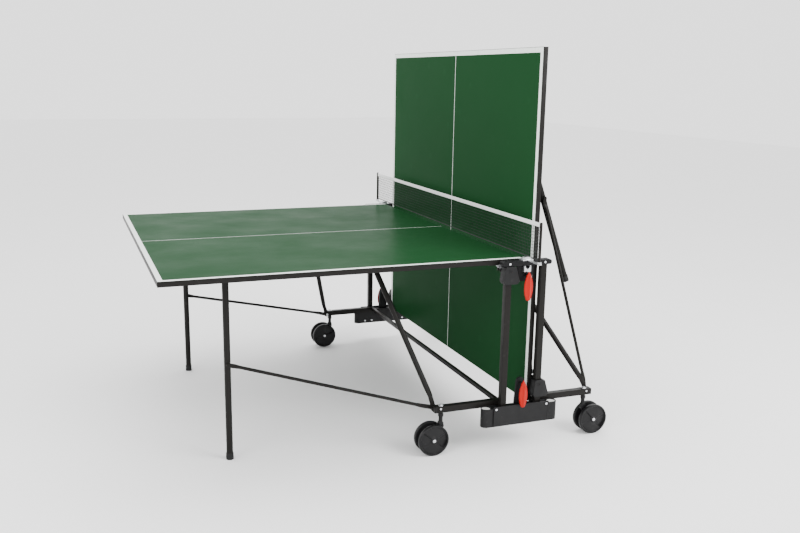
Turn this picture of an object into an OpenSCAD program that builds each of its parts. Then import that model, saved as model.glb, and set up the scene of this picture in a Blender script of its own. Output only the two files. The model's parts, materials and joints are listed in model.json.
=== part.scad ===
// Folding table tennis table: one half open for play, the other half folded upright.
// Frame: +Z up, floor at z = 0. The length runs along X, the net runs along Y.
// Both halves share one set of modules. Each half is drawn in its own flat frame:
// s runs along +X from the net end, y across, and depth h below the playing face is -z.

/* [Playing top] */
// length of one half along the table
half_len = 1368; // [1300:2:1368]
// width of the top across the table
top_w = 1525; // [1500:1:1526]
// height of the playing face above the floor
play_h = 760; // [758:1:762]
// gap from the net plane to the end of each half
end_gap = 2; // [2:1:4]
// thickness of the wooden board
board_t = 16; // [15:1:16]
// depth of the steel edge strip round the board
edge_d = 20; // [19:1:22]
// wall of the steel edge strip
edge_t = 1.5; // [1:0.5:2]
// width of the white edge lines
line_w = 20; // [18:1:22]
// width of the white centre line
centre_w = 3; // [2:1:4]
// thickness of the painted lines
paint_t = 0.3; // [0.2:0.1:0.4]

/* [Folding linkage] */
// distance of the slider pivot from the net plane
pivot_x = 82; // [80:1:84]
// depth of the slider pivot below the playing face
pivot_h = 39; // [38:1:40]
// height of the lower end of the upright half
upright_z = 176; // [174:1:180]
// depth of the strut and leg pivots below the playing face
link_h = 35; // [34:1:36]
// distance of the strut pivot from the net end of a half
strut_s = 511; // [505:1:515]
// distance of the leg pivot from the net end of a half
leg_s = 1105; // [1100:1:1110]
// height of the link pivot on the base beam
link_z = 179; // [176:1:182]
// distance of the stay pivot from the leg pivot, along the leg
stay_d = 345; // [344:0.5:347]
// half spacing of the legs
leg_y = 549; // [545:1:553]

/* [Base frame] */
// half spacing of the base beams
beam_y = 744.5; // [743.5:0.5:744.5]
// half length of the base beams
beam_l = 341; // [341:1:345]
// side of the square base beam tube
beam_w = 25; // [24:1:25]
// height of the beam centre
beam_z = 180; // [179:0.5:181]
// half spacing of the posts along the table
post_x = 75; // [74:1:76]
// half spacing of the posts across the table
post_y = 783; // [783:1:785]
// side of the square post tube
post_w = 24; // [23:1:25]
// height of the top of the posts
post_top = 752; // [750:1:754]

/* [Foot housings] */
// half length of the housing
foot_l = 165; // [160:1:170]
// lower edge of the housing
foot_z0 = 100; // [97:1:103]
// upper edge of the housing
foot_z1 = 175; // [174:0.5:175.5]

/* [Castors] */
// wheel radius
wheel_r = 62.5; // [60:0.5:62.5]
// thickness of each of the twin wheel discs
disc_t = 18; // [16:1:19]
// gap between the twin discs
disc_gap = 28; // [27:1:30]
// distance of the swivel from the net plane
swivel_x = 319; // [317:1:320]
// distance of the axle behind the swivel
trail = 37.5; // [36:0.5:39]

/* [Net] */
// height of the net above the playing face
net_h = 152.5; // [150:0.5:155]
// half spacing of the net posts
net_y = 883; // [880:1:886]
// gap between the playing face and the lower edge of the mesh
net_gap = 15; // [12:1:20]

/* [Hidden] */
$fn = 48;

// shift that brings the middle of the whole bounding box over the origin
mid_x = (1370 - (swivel_x + trail + wheel_r)) / 2;

// positions of the two link pivots of a half, given flat or upright, as [x, z]
face_x = pivot_x - pivot_h;
function flat_pt(s, h) = [end_gap + s, play_h - h];
function up_pt(s, h) = [face_x + h, upright_z + s];
pivot_s = pivot_x - end_gap;
strut_flat = flat_pt(strut_s, link_h);
strut_up = up_pt(strut_s, link_h);
// the base pivot is equally far from both positions of the strut's upper pivot
link_x = (strut_flat.x * strut_flat.x - strut_up.x * strut_up.x
    + strut_flat.y * strut_flat.y - strut_up.y * strut_up.y
    - 2 * link_z * (strut_flat.y - strut_up.y)) / (2 * (strut_flat.x - strut_up.x));
leg_flat = flat_pt(leg_s, link_h);
leg_up = up_pt(leg_s, link_h);
stay_flat = [leg_flat.x, leg_flat.y - stay_d];
stay_len2 = pow(stay_flat.x - link_x, 2) + pow(stay_flat.y - link_z, 2);
// lean of the folded leg from the vertical, from the stay's fixed length
fold_a = 2 * stay_d * (link_x - leg_up.x);
fold_b = 2 * stay_d * (leg_up.y - link_z);
fold_c = pow(link_x - leg_up.x, 2) + pow(leg_up.y - link_z, 2) + stay_d * stay_d - stay_len2;
leg_lean = atan2(fold_a, fold_b) + acos(fold_c / norm([fold_a, fold_b]));
stay_up = [leg_up.x + stay_d * sin(leg_lean), leg_up.y - stay_d * cos(leg_lean)];

black = [0.07, 0.07, 0.07];
dark = [0.13, 0.13, 0.14];
plastic = [0.11, 0.11, 0.12];
green = [0.16, 0.33, 0.22];
white = [0.92, 0.93, 0.92];
zinc = [0.75, 0.76, 0.78];
red = [0.83, 0.17, 0.08];

// ---------- placing ----------
module placed() translate([mid_x, 0, 0]) children();

module both_y() {
    children();
    mirror([0, 1, 0]) children();
}

module both_x() {
    children();
    mirror([1, 0, 0]) children();
}

// half "a" lies flat on the -X side
module flat_half() mirror([1, 0, 0]) translate([end_gap, 0, play_h]) children();

// half "b" stands upright on the +X side
module upright_half() translate([face_x, 0, upright_z]) rotate([0, -90, 0]) children();

// ---------- shapes ----------
// box from its low corner to its high corner
module box(lo, hi) translate(lo) cube(hi - lo);

// round bar between two points
module bar(p, q, r, fn = 48) {
    v = q - p;
    len = norm(v);
    translate(p) rotate([0, acos(v.z / len), atan2(v.y, v.x)]) cylinder(h = len, r = r, $fn = fn);
}

// tube between two points, open at both ends
module pipe(p, q, r, wall) {
    u = (q - p) / norm(q - p);
    difference() {
        bar(p, q, r);
        bar(p - u, q + u, r - wall);
    }
}

// flat plate in the XZ plane from a 2D shape, spanning y0 to y1 on the near side (-Y)
module plate_xz(y0, y1) translate([0, -y0, 0]) rotate([90, 0, 0]) linear_extrude(y1 - y0) children();

// strip with two round ends, a hair narrower than its ends
module slot2d(p, q, r) {
    v = q - p;
    w = r * 0.985;
    translate(p) circle(r);
    translate(q) circle(r);
    translate(p) rotate(atan2(v.y, v.x)) translate([0, -w]) square([norm(v), 2 * w]);
}

// rectangle with rounded corners
module round_rect(x0, z0, x1, z1, r) {
    translate([x0 + r, z0]) square([x1 - x0 - 2 * r, z1 - z0]);
    translate([x0, z0 + r]) square([x1 - x0, z1 - z0 - 2 * r]);
    for (x = [x0 + r, x1 - r], z = [z0 + r, z1 - r])
        translate([x, z]) circle(r);
}

// slim leaf, h tall from z = 0 and w wide, pointed at the top and round at the foot
module leaf2d(w, h) {
    up = 0.55 * h;
    big = (up * up + w * w / 4) / w;
    foot = 0.3 * w;
    translate([0, foot]) circle(foot);
    intersection() {
        translate([w / 2 - big, h - up]) circle(big, $fn = 120);
        translate([big - w / 2, h - up]) circle(big, $fn = 120);
        translate([-w, foot]) square([2 * w, h]);
    }
}

// ---------- base frame ----------
// the beams stop short of the middle, where the lower edge of an upright half hangs
beam_in = 66;
module side_beams() color(black) placed() both_x() both_y() {
    difference() {
        box([beam_in, -beam_y - beam_w / 2, beam_z - beam_w / 2],
            [beam_l, -beam_y + beam_w / 2, beam_z + beam_w / 2]);
        box([beam_in - 1, -beam_y - beam_w / 2 + 2, beam_z - beam_w / 2 + 2],
            [beam_l + 1, -beam_y + beam_w / 2 - 2, beam_z + beam_w / 2 - 2]);
        translate([swivel_x, -beam_y, beam_z - beam_w]) cylinder(h = 2 * beam_w, r = 9);
    }
    // lug that joins the beam to its post
    box([beam_in, -post_y + post_w / 2, foot_z1 + 1],
        [post_x + post_w / 2, -beam_y - beam_w / 2, beam_z + beam_w / 2]);
}

// plastic plugs in the beam ends; each holds a castor stem
module beam_plugs() color(plastic) placed() both_x() both_y() difference() {
    union() {
        box([swivel_x - 18, -beam_y - beam_w / 2 + 2, beam_z - beam_w / 2 + 2],
            [beam_l, -beam_y + beam_w / 2 - 2, beam_z + beam_w / 2 - 2]);
        box([beam_l, -beam_y - beam_w / 2, beam_z - beam_w / 2],
            [beam_l + 4, -beam_y + beam_w / 2, beam_z + beam_w / 2]);
    }
    translate([swivel_x, -beam_y, beam_z - beam_w / 2]) cylinder(h = beam_w - 8, r = 8.05);
}

module stem_caps() color(zinc) placed() both_x() both_y()
    translate([swivel_x, -beam_y, beam_z + beam_w / 2 - 2]) {
        cylinder(h = 4, r = 8.9);
        translate([0, 0, 2]) cylinder(h = 2, r = 11);
        translate([0, 0, 4]) cylinder(h = 4, r = 7, $fn = 6);
        // rivet on the outer face of the beam
        translate([6, -beam_w / 2, -7]) rotate([90, 0, 0]) cylinder(h = 2, r = 4);
    }

// plates on the inner faces of the beams that the struts and stays turn on
module pivot_plates() color(black) placed() both_x() both_y() {
    plate_xz(beam_y - beam_w / 2 - 3.5, beam_y - beam_w / 2) {
        translate([link_x - 1, link_z]) circle(14);
        translate([link_x - 40, link_z - 11]) square([40, 24]);
    }
    plate_xz(beam_y - beam_w / 2, beam_y + beam_w / 2)
        translate([beam_l + 4, link_z - 11]) square([4, 24]);
    plate_xz(beam_y - beam_w / 2 - 3.5, beam_y - beam_w / 2)
        translate([beam_l - 2, link_z - 11]) square([10, 24]);
}

module cross_tubes() color(black) placed() both_x() difference() {
    box([beam_in, -beam_y + beam_w / 2, beam_z - 4.5],
        [beam_in + 16, beam_y - beam_w / 2, beam_z + 11.5]);
    box([beam_in + 1.5, -beam_y, beam_z - 3], [beam_in + 14.5, beam_y, beam_z + 10]);
}

module posts() color(black) placed() both_x() both_y() difference() {
    box([post_x - post_w / 2, -post_y - post_w / 2, foot_z0 + 6],
        [post_x + post_w / 2, -post_y + post_w / 2, post_top]);
    box([post_x - post_w / 2 + 2, -post_y - post_w / 2 + 2, foot_z0],
        [post_x + post_w / 2 - 2, -post_y + post_w / 2 - 2, post_top + 1]);
}

// hollow plastic housing round the feet of two posts: a tall loop with round ends
foot_y = 782.5;
foot_r = 20.5;
module foot_plan(r) slot2d([-foot_l + foot_r, -foot_y], [foot_l - foot_r, -foot_y], r);

module foot_shells() color(plastic) placed() both_y() {
    difference() {
        translate([0, 0, foot_z0]) linear_extrude(foot_z1 - foot_z0) foot_plan(foot_r);
        translate([0, 0, foot_z0 - 1]) linear_extrude(foot_z1 - foot_z0 + 2) foot_plan(foot_r - 3);
    }
    // lid between the two round ends, with a hole for each post
    difference() {
        box([-123, -foot_y - 19, foot_z1 - 5], [123, -foot_y + 19, foot_z1 - 1]);
        for (m = [-1, 1])
            box([m * post_x - post_w / 2, -post_y - post_w / 2, foot_z1 - 20],
                [m * post_x + post_w / 2, -post_y + post_w / 2, foot_z1 + 20]);
    }
    // webs that part the round ends from the middle
    for (m = [-1, 1])
        box([m * 124 - 1.5, -foot_y - 19, foot_z0 + 2], [m * 124 + 1.5, -foot_y + 19, foot_z1 - 2]);
}

// raised front panel, a little taller than the housing
cover_y = foot_y + foot_r * 0.985;
module foot_covers() color(plastic) placed() both_y() difference() {
    plate_xz(cover_y, cover_y + 4) round_rect(-121, foot_z0 + 2, 121, foot_z1 + 8, 4);
    plate_xz(cover_y + 3, cover_y + 5) round_rect(-116, foot_z0 + 7, 116, foot_z1 + 3, 3);
}

module foot_screws() color(zinc) placed() both_y() {
    // two on the front panel
    for (m = [-1, 1])
        translate([m * 110.5, -cover_y - 3, foot_z1 - 3]) rotate([90, 0, 0]) cylinder(h = 3, r = 5);
    // four on the back
    for (x = [-110, -71, 71, 110])
        translate([x, -foot_y + foot_r * 0.985, foot_z0 + 14]) rotate([-90, 0, 0]) cylinder(h = 2.5, r = 5, $fn = 6);
}

// caps across the tops of each pair of posts
bridge_under = 747.5 - 9.5 * 0.985;
module bridges() color(dark) placed() both_y() difference() {
    plate_xz(767, 801) slot2d([-95, 747.5], [95, 747.5], 9.5);
    for (m = [-1, 1])
        box([m * post_x - post_w / 2, -post_y - post_w / 2, 730],
            [m * post_x + post_w / 2, -post_y + post_w / 2, post_top]);
}

module bridge_rivets() color(zinc) placed() both_y() {
    for (m = [-1, 1])
        translate([m * post_x, -801, 747]) rotate([90, 0, 0]) cylinder(h = 2, r = 4.5);
}

// plates between the posts that carry the locks
lock_y = 811;
module lock_plates_top() color(dark) placed() both_y() {
    plate_xz(778, 787) {
        polygon([[-38, bridge_under], [38, bridge_under], [25, 684], [-25, 684]]);
        slot2d([-16, 684], [16, 684], 9);
    }
    // boss that the lock handle hangs from
    translate([0, -787, 700]) rotate([90, 0, 0]) cylinder(h = lock_y - 787 - 4.5, r = 6);
}

module lock_plates_low() color(dark) placed() both_y() {
    plate_xz(778, 787) {
        polygon([[-24, foot_z1 - 1], [24, foot_z1 - 1], [17, 272], [-17, 272]]);
        translate([0, 271]) circle(17);
    }
    translate([0, -787, 267]) rotate([90, 0, 0]) cylinder(h = lock_y - 787 - 4.5, r = 6);
}

// bright notched catch above the upper lock handle
module catches() color(zinc) placed() both_y()
    plate_xz(787, 801.5) difference() {
        translate([-14, 713]) square([28, 24]);
        translate([0, 722]) rotate(45) square([16, 16]);
        translate([-20, 711]) rotate(20) square([5, 30]);
        translate([20, 711]) rotate(-20) translate([-5, 0]) square([5, 30]);
    }

// ---------- net ----------
module net_arms() color(zinc) placed() both_y() {
    // clamp plate over the bridge
    box([-22, -801, 757], [22, -767, 761]);
    box([-11, -792, 761], [16, -776, 769]);
    // arm out to the net post
    box([-6, -net_y - 8, 757], [6, -801, 761]);
    translate([0, -net_y, 761]) cylinder(h = 6, r = 8);
}

module net_posts() color(black) placed() both_y()
    translate([0, -net_y, 767]) {
        cylinder(h = play_h + net_h - 767, r = 5.5);
        translate([0, 0, play_h + net_h - 767]) cylinder(h = 3, r1 = 5.5, r2 = 4);
    }

net_in = net_y - 6.5;
module net_mesh() color([0.05, 0.14, 0.1]) placed()
    box([-0.5, -net_in, play_h + net_gap], [0.5, net_in, play_h + net_h - 15]);

module net_tape() color(white) placed()
    box([-2, -net_in, play_h + net_h - 15], [2, net_in, play_h + net_h]);

module net_cord() color(black) placed() bar(
    [0, -net_in, play_h + net_gap - 1.5], [0, net_in, play_h + net_gap - 1.5], 1.5, 16);

// ---------- castors ----------
// sx, sy: side of the table; the wheel trails away from the middle
module castor(sx, sy) color(dark) placed() translate([sx * swivel_x, sy * beam_y, 0]) scale([sx, 1, 1]) {
    // stem
    translate([0, 0, 112]) cylinder(h = beam_z - 112 + 4, r = 8);
    translate([0, 0, 150]) cylinder(h = 10, r = 10.5);
    // arm between the wheels
    translate([0, 8, 0]) rotate([90, 0, 0]) linear_extrude(16) difference() {
        union() {
            slot2d([0, 112], [0, 122], 9.5);
            slot2d([0, 112], [trail, wheel_r], 11);
        }
        translate([trail, wheel_r]) circle(5.05);
    }
}

module castor_nl() castor(-1, -1);
module castor_nr() castor(1, -1);
module castor_fl() castor(-1, 1);
module castor_fr() castor(1, 1);

// twin discs on one axle, with cross ribs on each outer face
module wheel(sx, sy) color(dark) placed()
    translate([sx * (swivel_x + trail), sy * beam_y, wheel_r]) {
        for (m = [-1, 1])
            translate([0, m * disc_gap / 2, 0]) rotate([-90 * m, 0, 0]) difference() {
                union() {
                    cylinder(h = disc_t - 3, r = wheel_r - 2, $fn = 96);
                    translate([0, 0, 2]) cylinder(h = disc_t - 7, r = wheel_r, $fn = 96);
                    translate([0, 0, 8.5 - disc_gap / 2]) cylinder(h = disc_gap / 2 + disc_t - 8.5, r = 14);
                    translate([0, 0, disc_t]) cylinder(h = 3, r = 8);
                    for (a = [45, 135])
                        rotate(a) translate([-wheel_r + 8, -7, 0]) cube([2 * wheel_r - 16, 14, disc_t - 1]);
                }
                // dished quarters between the ribs
                difference() {
                    translate([0, 0, disc_t - 9]) cylinder(h = 20, r = wheel_r - 10, $fn = 96);
                    translate([0, 0, disc_t - 10]) cylinder(h = 22, r = 18);
                    for (a = [45, 135])
                        rotate(a) translate([-wheel_r, -9, disc_t - 10]) cube([2 * wheel_r, 18, 22]);
                }
            }
        translate([0, disc_gap / 2 + 1, 0]) rotate([90, 0, 0]) cylinder(h = disc_gap + 2, r = 5);
    }

module wheel_nl() wheel(-1, -1);
module wheel_nr() wheel(1, -1);
module wheel_fl() wheel(-1, 1);
module wheel_fr() wheel(1, 1);

// ---------- lock handles ----------
// leaf shaped handle hanging in front of the post frame on the near side
module handle(h) {
    plate_xz(lock_y, lock_y + 9) leaf2d(37, h);
    plate_xz(lock_y + 8, lock_y + 14) translate([0, 10]) leaf2d(19, h - 26);
    // hinge roll along the upper back
    translate([-8, -lock_y, h - 17]) rotate([0, 90, 0]) cylinder(h = 16, r = 4);
}

module lock_near_top() color(red) placed() translate([0, 0, 603]) handle(114);
module lock_far_top() color(red) placed() mirror([0, 1, 0]) translate([0, 0, 603]) handle(114);
module lock_near_low() color(red) placed() translate([0, 0, 172]) handle(112);
module lock_far_low() color(red) placed() mirror([0, 1, 0]) translate([0, 0, 172]) handle(112);

// ---------- one half, in its own flat frame ----------
wy = top_w / 2;
module half_lines2d() {
    // side lines
    for (m = [-1, 1])
        translate([edge_t, m < 0 ? -wy + edge_t : wy - line_w]) square([half_len - 2 * edge_t, line_w - edge_t]);
    // end line
    translate([half_len - line_w, -wy + line_w]) square([line_w - edge_t, top_w - 2 * line_w]);
    // centre line
    translate([edge_t, -centre_w / 2]) square([half_len - line_w - edge_t, centre_w]);
}

module half_board() color(green) difference() {
    box([edge_t, -wy + edge_t, -board_t], [half_len - edge_t, wy - edge_t, 0]);
    translate([0, 0, -paint_t]) linear_extrude(paint_t + 1) half_lines2d();
}

module half_lines() color(white) translate([0, 0, -paint_t]) linear_extrude(paint_t) half_lines2d();

// steel edge: a side wall and a flange under the board
module half_edge() color(black) {
    both_y() {
        box([0, -wy, -edge_d], [half_len, -wy + edge_t, -0.5]);
        box([0, -wy, -board_t - 1.5], [half_len, -wy + 22, -board_t]);
    }
    for (m = [0, 1])
        translate([m * half_len, 0, 0]) scale([m == 0 ? 1 : -1, 1, 1]) {
            box([0, -wy + edge_t + 0.2, -edge_d], [edge_t, wy - edge_t - 0.2, -0.5]);
            box([0, -wy + 22.2, -board_t - 1.5], [22, wy - 22.2, -board_t]);
        }
}

// square tubes that stiffen the board from below
rail_y = 600;
module half_rails() color(black) {
    both_y() difference() {
        box([26, -rail_y - 12.5, -board_t - 25], [half_len - 26, -rail_y + 12.5, -board_t]);
        box([20, -rail_y - 11, -board_t - 23.5], [half_len - 20, -rail_y + 11, -board_t - 1.5]);
    }
    for (s = [140, 760, half_len - 60])
        difference() {
            box([s - 12.5, -rail_y + 12.7, -board_t - 25], [s + 12.5, rail_y - 12.7, -board_t]);
            box([s - 11, -rail_y, -board_t - 23.5], [s + 11, rail_y, -board_t - 1.5]);
        }
}

strut_y = 484;
module half_brackets() color(black) both_y() {
    // plate for the slider pin
    difference() {
        plate_xz(750, 755) {
            translate([pivot_s - 22, -44]) square([44, 44 - board_t]);
            translate([pivot_s, -pivot_h]) circle(15);
        }
        translate([pivot_s, -740, -pivot_h]) rotate([90, 0, 0]) cylinder(h = 30, r = 6.05);
        box([0, -770, -board_t - 1.5], [200, -730, 0]);
    }
    // flange of the slider plate, under the edge strip
    box([pivot_s + 22, -760, -edge_d - 3], [pivot_s + 60, -740, -edge_d]);
    box([pivot_s + 22, -755, -edge_d - 3], [pivot_s + 60, -742, -board_t - 1.5]);
    // ears for the leg axle
    difference() {
        plate_xz(579, rail_y - 12.5) {
            translate([leg_s - 22, -link_h]) square([44, link_h - board_t]);
            translate([leg_s, -link_h]) circle(18);
        }
        translate([leg_s, -570, -link_h]) rotate([90, 0, 0]) cylinder(h = 40, r = 6.05);
        box([leg_s - 60, -700, -board_t], [leg_s + 60, -500, 10]);
    }
    // forked ears for the strut
    box([strut_s - 30, -strut_y - 16, -board_t - 3], [strut_s + 30, -strut_y + 16, -board_t]);
    for (m = [-1, 1])
        difference() {
            plate_xz(strut_y + m * 8 - 1.5, strut_y + m * 8 + 1.5) {
                translate([strut_s - 18, -link_h]) square([36, link_h - board_t - 1]);
                translate([strut_s, -link_h]) circle(14);
            }
            box([strut_s - 60, -700, -board_t], [strut_s + 60, -400, 10]);
        }
    translate([strut_s, -strut_y + 12, -link_h]) rotate([90, 0, 0]) cylinder(h = 24, r = 5);
}

// blocks that slide on the posts, drawn round the post at the slider pivot's height
module slider_block() difference() {
    plate_xz(764.5, 803)
        polygon([[-18, -53], [34, -53], [43, -42], [27, 12], [22, 16], [-15, 16], [-18, 12], [-24, -42]]);
    box([-post_w / 2 - 0.3, -post_y - post_w / 2 - 0.3, -80], [post_w / 2 + 0.3, -post_y + post_w / 2 + 0.3, 40]);
}

module slider_pair(x, z) {
    translate([x, 0, z]) slider_block();
    rotate(180) translate([-x, 0, z]) slider_block();
}

module slider_pin() {
    translate([0, -748, 0]) rotate([90, 0, 0]) cylinder(h = 18.5, r = 6);
    translate([0, -745.5, 0]) rotate([90, 0, 0]) cylinder(h = 4, r = 10, $fn = 6);
}

// ---------- links, drawn on the +X side between two pivots in the XZ plane ----------
function along(p, q, d) = p + (q - p) * d / norm(q - p);
function pt3(p, y) = [p.x, -y, p.y];

module strut_tube(top) {
    base = [link_x, link_z];
    len = norm(top - base);
    pipe(pt3(along(base, top, 78), 713), pt3(along(base, top, len - 42), strut_y + 7), 11, 1.5);
}

// flattened ends of a strut: a flat eye and a round plug in the tube
module strut_end(top) {
    base = [link_x, link_z];
    len = norm(top - base);
    a = pt3(along(base, top, 78), 713);
    b = pt3(along(base, top, len - 42), strut_y + 7);
    u = (b - a) / norm(b - a);
    plate_xz(722.3, 727.3) slot2d(base, along(base, top, 74), 9.5);
    bar(a - 11 * u, a + 20 * u, 9.4);
    difference() {
        plate_xz(strut_y - 2.5, strut_y + 2.5) slot2d(top, along(top, base, 44), 9);
        translate([top.x, -strut_y + 20, top.y]) rotate([90, 0, 0]) cylinder(h = 40, r = 5.05);
    }
    bar(b - 20 * u, b + 12 * u, 9.4);
}

module leg_tube(top, dir) {
    foot = top + dir * (play_h - link_h - 4);
    stay = top + dir * stay_d;
    difference() {
        pipe([top.x, -leg_y, top.y], [foot.x, -leg_y, foot.y], 12.5, 1.5);
        translate([top.x, -leg_y + 40, top.y]) rotate([90, 0, 0]) cylinder(h = 80, r = 12.55);
    }
    // stud that holds the stay
    translate([stay.x, -leg_y - 11.5, stay.y]) rotate([90, 0, 0]) cylinder(h = 9, r = 4);
    translate([stay.x, -leg_y - 18.5, stay.y]) rotate([90, 0, 0]) cylinder(h = 4, r = 7);
}

module leg_axle(top) {
    difference() {
        translate([top.x, 574, top.y]) rotate([90, 0, 0]) cylinder(h = 1148, r = 12.5);
        translate([top.x, 560, top.y]) rotate([90, 0, 0]) cylinder(h = 1120, r = 11);
    }
    both_y() translate([top.x, -573, top.y]) rotate([90, 0, 0]) cylinder(h = 13, r = 6);
}

module leg_foot(top, dir) {
    end = top + dir * (play_h - link_h);
    bar([end.x - dir.x * 26, -leg_y, end.y - dir.y * 26], [end.x, -leg_y, end.y], 14.5);
}

module foot_cap(top, dir) difference() {
    leg_foot(top, dir);
    foot = top + dir * (play_h - link_h - 4);
    bar([top.x, -leg_y, top.y], [foot.x, -leg_y, foot.y], 12.5);
}

// thin stay rod between the leg and the base beam
module stay_rod(top) {
    base = [link_x, link_z];
    a = along(base, top, 66);
    b = along(top, base, 30);
    plate_xz(717.2, 721.4) slot2d(base, along(base, top, 62), 8.5);
    translate([base.x, -717.2, base.y]) rotate([-90, 0, 0]) cylinder(h = 6, r = 7, $fn = 6);
    difference() {
        plate_xz(562.3, 566.3) slot2d(top, along(top, base, 34), 8.5);
        translate([top.x, -550, top.y]) rotate([90, 0, 0]) cylinder(h = 40, r = 4.05);
    }
    bar(pt3(along(base, top, 54), 717), pt3(b, 568.7), 6.5, 32);
}

down = [0, -1];
lean_dir = [sin(leg_lean), -cos(leg_lean)];

module a_board() placed() flat_half() half_board();
module a_lines() placed() flat_half() half_lines();
module a_edge() placed() flat_half() half_edge();
module a_rails() placed() flat_half() half_rails();
module a_brackets() placed() flat_half() half_brackets();
module a_sliders() color(plastic) placed() slider_pair(-post_x, play_h - pivot_h);
module a_slider_pins() color(zinc) placed() both_y() mirror([1, 0, 0]) translate([pivot_x, 0, play_h - pivot_h])
    slider_pin();
module a_struts() color(black) placed() both_y() mirror([1, 0, 0]) strut_tube(strut_flat);
module a_strut_ends() color(black) placed() both_y() mirror([1, 0, 0]) strut_end(strut_flat);
module a_legs() color(black) placed() both_y() mirror([1, 0, 0]) leg_tube(leg_flat, down);
module a_leg_axle() color(black) placed() mirror([1, 0, 0]) leg_axle(leg_flat);
module a_feet() color(plastic) placed() both_y() mirror([1, 0, 0]) foot_cap(leg_flat, down);
module a_stays() color(black) placed() both_y() mirror([1, 0, 0]) stay_rod(stay_flat);

module b_board() placed() upright_half() half_board();
module b_lines() placed() upright_half() half_lines();
module b_edge() placed() upright_half() half_edge();
module b_rails() placed() upright_half() half_rails();
module b_brackets() placed() upright_half() half_brackets();
module b_sliders() color(plastic) placed() slider_pair(post_x, upright_z + pivot_s);
module b_slider_pins() color(zinc) placed() both_y() translate([pivot_x, 0, upright_z + pivot_s]) slider_pin();
module b_struts() color(black) placed() both_y() strut_tube(strut_up);
module b_strut_ends() color(black) placed() both_y() strut_end(strut_up);
module b_legs() color(black) placed() both_y() leg_tube(leg_up, lean_dir);
module b_leg_axle() color(black) placed() leg_axle(leg_up);
module b_feet() color(plastic) placed() both_y() foot_cap(leg_up, lean_dir);
module b_stays() color(black) placed() both_y() stay_rod(stay_up);

side_beams();
beam_plugs();
stem_caps();
pivot_plates();
cross_tubes();
posts();
foot_shells();
foot_covers();
foot_screws();
bridges();
bridge_rivets();
lock_plates_top();
lock_plates_low();
catches();
net_arms();
net_posts();
net_mesh();
net_tape();
net_cord();
castor_nl();
castor_nr();
castor_fl();
castor_fr();
wheel_nl();
wheel_nr();
wheel_fl();
wheel_fr();
lock_near_top();
lock_near_low();
lock_far_top();
lock_far_low();
a_board();
a_lines();
a_edge();
a_rails();
a_brackets();
a_sliders();
a_slider_pins();
a_struts();
a_strut_ends();
a_legs();
a_leg_axle();
a_feet();
a_stays();
b_board();
b_lines();
b_edge();
b_rails();
b_brackets();
b_sliders();
b_slider_pins();
b_struts();
b_strut_ends();
b_legs();
b_leg_axle();
b_feet();
b_stays();
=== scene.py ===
import json
import math
import random

import bmesh
import bpy
from mathutils import Matrix, Vector


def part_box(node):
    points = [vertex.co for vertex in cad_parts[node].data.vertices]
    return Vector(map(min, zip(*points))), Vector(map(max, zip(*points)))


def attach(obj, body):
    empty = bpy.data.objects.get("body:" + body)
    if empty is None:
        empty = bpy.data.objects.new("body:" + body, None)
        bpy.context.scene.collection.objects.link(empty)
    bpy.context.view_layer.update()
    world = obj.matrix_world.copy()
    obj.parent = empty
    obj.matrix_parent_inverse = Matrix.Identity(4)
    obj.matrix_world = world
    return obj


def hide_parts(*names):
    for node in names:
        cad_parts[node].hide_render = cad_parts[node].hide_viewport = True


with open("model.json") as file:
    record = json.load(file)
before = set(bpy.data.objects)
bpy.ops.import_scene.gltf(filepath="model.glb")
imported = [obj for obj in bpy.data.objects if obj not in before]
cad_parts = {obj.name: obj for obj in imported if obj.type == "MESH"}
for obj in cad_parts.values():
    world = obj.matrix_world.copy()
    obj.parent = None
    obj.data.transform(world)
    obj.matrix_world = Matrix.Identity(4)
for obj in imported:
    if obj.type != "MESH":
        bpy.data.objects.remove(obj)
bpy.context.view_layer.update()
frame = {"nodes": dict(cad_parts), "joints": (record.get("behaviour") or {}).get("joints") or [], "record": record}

NODES = frame["nodes"]
MM = 0.001
MID = 0.4755  # the net plane's x
SIDES = (-1, 1)  # near and far, or left and right of the net plane
HALVES = (("a", -1), ("b", 1))  # the flat half, at -X, and the upright half, at +X
CORNERS = ("nl", "nr", "fl", "fr")  # near left, near right, far left, far right
rnd = random.Random(7)


# ---------- camera ----------
def make_camera():
    """The photograph's camera, as fitted to the table's known size."""
    yaw, pitch, roll = (math.radians(a) for a in (19.83, 12.83, 0.6))
    f = Vector((math.sin(yaw) * math.cos(pitch), math.cos(yaw) * math.cos(pitch), -math.sin(pitch)))
    r = Vector((math.cos(yaw), -math.sin(yaw), 0))
    u = r.cross(f)
    right = math.cos(roll) * r + math.sin(roll) * u
    up = -math.sin(roll) * r + math.cos(roll) * u
    rot = Matrix((right, up, -f)).transposed().to_4x4()
    data = bpy.data.cameras.new("camera")
    data.sensor_width = 36
    data.lens = 39.85
    data.shift_x = 0.0303
    data.shift_y = 0.0133
    data.clip_end = 100
    cam = bpy.data.objects.new("camera", data)
    bpy.context.collection.objects.link(cam)
    cam.matrix_world = Matrix.Translation((MID - 1.657, -3.696, 1.435)) @ rot
    bpy.context.scene.camera = cam


make_camera()


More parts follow.
